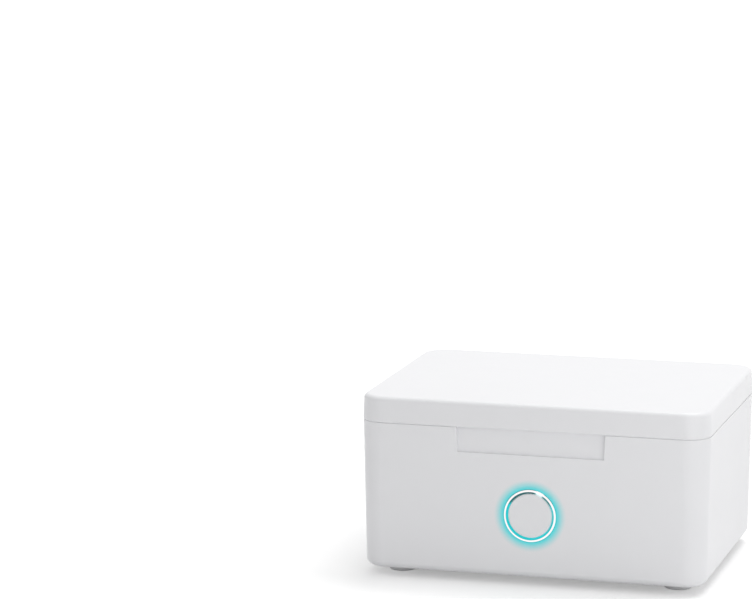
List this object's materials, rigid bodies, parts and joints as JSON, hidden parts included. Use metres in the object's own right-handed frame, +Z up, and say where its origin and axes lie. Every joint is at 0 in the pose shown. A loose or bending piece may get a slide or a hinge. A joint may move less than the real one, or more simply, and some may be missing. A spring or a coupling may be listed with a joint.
{
  "type": "hearing aid dryer",
  "caption": "Low drying box with rounded corners: a rear-hinged lid over a slotted drying tub, a finger recess at the front and a round push button in a lit ring.",
  "frame": {"origin": "on the table, under the middle of the whole box with its hinge barrels", "axes": "+X to the right and +Z up as seen from the front, which faces -Y"},
  "size_m": [0.1, 0.0788, 0.0521],
  "materials": {
    "housing": "satin moulded plastic",
    "cover": "satin moulded plastic",
    "tub": "satin moulded plastic",
    "button": "satin moulded plastic",
    "light_guide": "clear light guide, lit",
    "rubber": "soft moulded rubber",
    "steel": "bright plated steel",
    "circuit_board": "solder mask",
    "led": "moulded lamp, lit",
    "black_plastic": "moulded plastic",
    "switch_grey": "moulded plastic",
    "connector": "moulded plastic",
    "bronze": "sintered bronze",
    "copper": "enamelled winding wire",
    "ceramic": "fired ceramic",
    "fins": "bright aluminium",
    "can": "bright can",
    "duct": "heat-resistant moulded plastic",
    "cable": "soft sheath"
  },
  "bodies": {
    "root": {"base_shell": "housing", "bottom_cover": "cover", "chamber_tub": "tub", "drying_grille": "tub", "air_duct": "duct", "heater_core": "ceramic", "heater_fins": "fins", "fan_frame": "black_plastic", "fan_bearing": "bronze", "fan_stator": "copper", "hinge_pin_left": "steel", "hinge_pin_right": "steel", "light_ring": "light_guide", "push_switch": "black_plastic", "front_board": "circuit_board", "ring_leds": "led", "front_board_screws": "steel", "foot_front_left": "rubber", "foot_front_right": "rubber", "foot_rear_left": "rubber", "foot_rear_right": "rubber", "cover_screws": "steel", "main_board": "circuit_board", "main_board_screws": "steel", "power_inlet": "steel", "controller_chip": "black_plastic", "capacitors": "can", "board_connectors": "connector", "heater_cable": "cable", "fan_cable": "cable", "button_cable": "cable"},
    "lid": {"lid_shell": "housing", "lid_liner": "tub"},
    "button": {"button_cap": "button", "switch_plunger": "switch_grey"},
    "fan": {"fan_impeller": "black_plastic", "fan_shaft": "steel"}
  },
  "joints": [
    {"name": "lid_hinge", "type": "hinge", "parent": "root", "child": "lid", "pos_m": [0, 0.0371, 0.0449], "axis": [-1, 0, 0], "range_deg": [0, 105]},
    {"name": "button_press", "type": "slide", "parent": "root", "child": "button", "axis": [0, 1, 0], "range_m": [0, 0.0004], "stiffness_N_per_m": 2000, "springref_m": -0.0004},
    {"name": "fan_spin", "type": "hinge", "parent": "root", "child": "fan", "pos_m": [0, 0.00007, 0.009], "axis": [0, 0, 1], "continuous": true}
  ]
}
